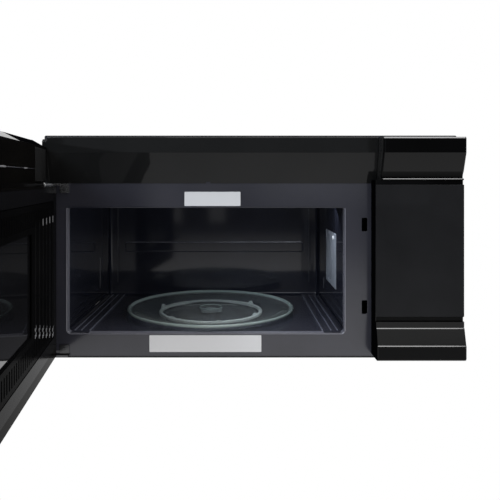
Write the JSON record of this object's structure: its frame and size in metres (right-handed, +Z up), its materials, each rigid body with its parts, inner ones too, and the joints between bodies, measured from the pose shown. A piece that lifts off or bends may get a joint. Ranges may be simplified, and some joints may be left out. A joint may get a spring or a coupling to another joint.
{
  "type": "over-the-range microwave oven",
  "caption": "Black over-the-range microwave oven, side-hinged door standing open on a cavity with a glass turntable, flush control panel and an upper vent trim.",
  "frame": {"origin": "centre of the cabinet's flat base", "axes": "+X to the viewer's right, +Y towards the wall, +Z up"},
  "size_m": [0.7791, 1.0045, 0.4095],
  "materials": {
    "case_steel": "satin black enamel on steel",
    "frame_enamel": "gloss dark grey enamel",
    "cavity_enamel": "smooth dark grey enamel",
    "zinc_steel": "zinc-plated steel",
    "plain_aluminium": "plain aluminium",
    "black_plastic": "gloss black moulding",
    "choke_plastic": "satin black moulding",
    "panel_glass": "black printed glass",
    "window_glass": "dark tinted glass",
    "tray_glass": "clear soda glass",
    "mica": "pale mica sheet",
    "pale_plastic": "off-white nylon",
    "board": "green circuit board",
    "copper_coil": "enamelled winding wire",
    "core_iron": "varnished laminations",
    "carbon": "charcoal filter",
    "lamp_glass": "frosted glass",
    "ceramic_white": "unglazed lamp ceramic",
    "dark_rubber": "cable gland"
  },
  "bodies": {
    "cabinet": {"outer_case": "case_steel", "back_panel": "zinc_steel", "case_screws": "zinc_steel", "base_pan": "case_steel", "grease_filters": "plain_aluminium", "lamp_lenses": "lamp_glass", "lamp_sockets": "ceramic_white", "cooktop_lamps": "lamp_glass", "front_frame": "frame_enamel", "cavity_liner": "cavity_enamel", "waveguide_cover": "mica", "cover_clip": "pale_plastic", "waveguide": "zinc_steel", "magnetron_yoke": "zinc_steel", "magnetron_tube": "plain_aluminium", "transformer_core": "core_iron", "transformer_coils": "copper_coil", "capacitor": "plain_aluminium", "capacitor_clamp": "zinc_steel", "fan_housing": "choke_plastic", "fan_motor": "core_iron", "blower_housing": "zinc_steel", "blower_motor": "zinc_steel", "exhaust_adapter": "zinc_steel", "top_nuts": "zinc_steel", "cable_gland": "dark_rubber", "charcoal_filter": "carbon", "cavity_lamp": "ceramic_white", "turntable_motor": "zinc_steel", "vent_trim": "black_plastic", "trim_end_cap": "black_plastic", "control_housing": "black_plastic", "control_glass": "panel_glass", "control_board": "board", "latch_bracket": "choke_plastic", "interlock_switches": "pale_plastic", "hinge_top": "zinc_steel", "hinge_bottom": "zinc_steel"},
    "door": {"door_skin": "black_plastic", "hinge_bushes": "pale_plastic", "door_glass": "panel_glass", "choke_frame": "frame_enamel", "choke_cover": "choke_plastic", "inner_pane": "window_glass", "latch_guide": "choke_plastic", "handle_bar": "black_plastic", "handle_posts": "black_plastic", "handle_screws": "zinc_steel"},
    "turntable": {"glass_turntable": "tray_glass", "drive_coupler": "pale_plastic"},
    "latch": {"latch_bar": "choke_plastic"},
    "roller_ring": {"roller_ring": "pale_plastic"},
    "roller_1": {"roller_1": "pale_plastic"},
    "roller_2": {"roller_2": "pale_plastic"},
    "roller_3": {"roller_3": "pale_plastic"},
    "cooling_fan": {"fan_blade": "choke_plastic"},
    "vent_blower": {"blower_wheels": "plain_aluminium"},
    "damper": {"damper_flap": "plain_aluminium"},
    "upper_plunger": {"upper_plunger": "choke_plastic"},
    "lower_plunger": {"lower_plunger": "choke_plastic"}
  },
  "joints": [
    {"name": "door_hinge", "type": "hinge", "parent": "cabinet", "child": "door", "pos_m": [-0.373, -0.214, 0.2], "axis": [0, 0, -1], "range_deg": [-83.4, 12]},
    {"name": "latch_slide", "type": "slide", "parent": "door", "child": "latch", "axis": [0, 0, 1], "range_m": [0, 0.005], "stiffness_N_per_m": 150, "springref_m": -0.008},
    {"name": "turntable_spin", "type": "hinge", "parent": "cabinet", "child": "turntable", "pos_m": [-0.08125, -0.007, 0.048], "axis": [0, 0, 1], "continuous": true},
    {"name": "ring_spin", "type": "hinge", "parent": "cabinet", "child": "roller_ring", "pos_m": [-0.08125, -0.007, 0.0418], "axis": [0, 0, 1], "continuous": true},
    {"name": "roller_1_spin", "type": "hinge", "parent": "roller_ring", "child": "roller_1", "pos_m": [0.00608, 0.06628, 0.0418], "axis": [0.766, 0.6428, 0], "continuous": true},
    {"name": "roller_2_spin", "type": "hinge", "parent": "roller_ring", "child": "roller_2", "pos_m": [-0.18837, 0.03199, 0.0418], "axis": [-0.9397, 0.342, 0], "continuous": true},
    {"name": "roller_3_spin", "type": "hinge", "parent": "roller_ring", "child": "roller_3", "pos_m": [-0.06145, -0.11927, 0.0418], "axis": [0.1736, -0.9848, 0], "continuous": true},
    {"name": "cooling_fan_spin", "type": "hinge", "parent": "cabinet", "child": "cooling_fan", "pos_m": [0.2849, 0.16, 0.285], "axis": [0, 1, 0], "continuous": true},
    {"name": "vent_blower_spin", "type": "hinge", "parent": "cabinet", "child": "vent_blower", "pos_m": [0, 0.1, 0.335], "axis": [1, 0, 0], "continuous": true},
    {"name": "damper_swing", "type": "hinge", "parent": "cabinet", "child": "damper", "pos_m": [0, 0.0665, 0.404], "axis": [1, 0, 0], "range_deg": [0, 80]},
    {"name": "upper_plunger_slide", "type": "slide", "parent": "cabinet", "child": "upper_plunger", "axis": [0, 1, 0], "range_m": [0, 0.0015], "stiffness_N_per_m": 150, "springref_m": -0.003},
    {"name": "lower_plunger_slide", "type": "slide", "parent": "cabinet", "child": "lower_plunger", "axis": [0, 1, 0], "range_m": [0, 0.0015], "stiffness_N_per_m": 150, "springref_m": -0.003}
  ],
  "couplings": [
    {"joint": "ring_spin", "follows": "turntable_spin", "ratio": 0.5},
    {"joint": "roller_1_spin", "follows": "turntable_spin", "ratio": -8.7692},
    {"joint": "roller_2_spin", "follows": "turntable_spin", "ratio": -8.7692},
    {"joint": "roller_3_spin", "follows": "turntable_spin", "ratio": -8.7692}
  ]
}
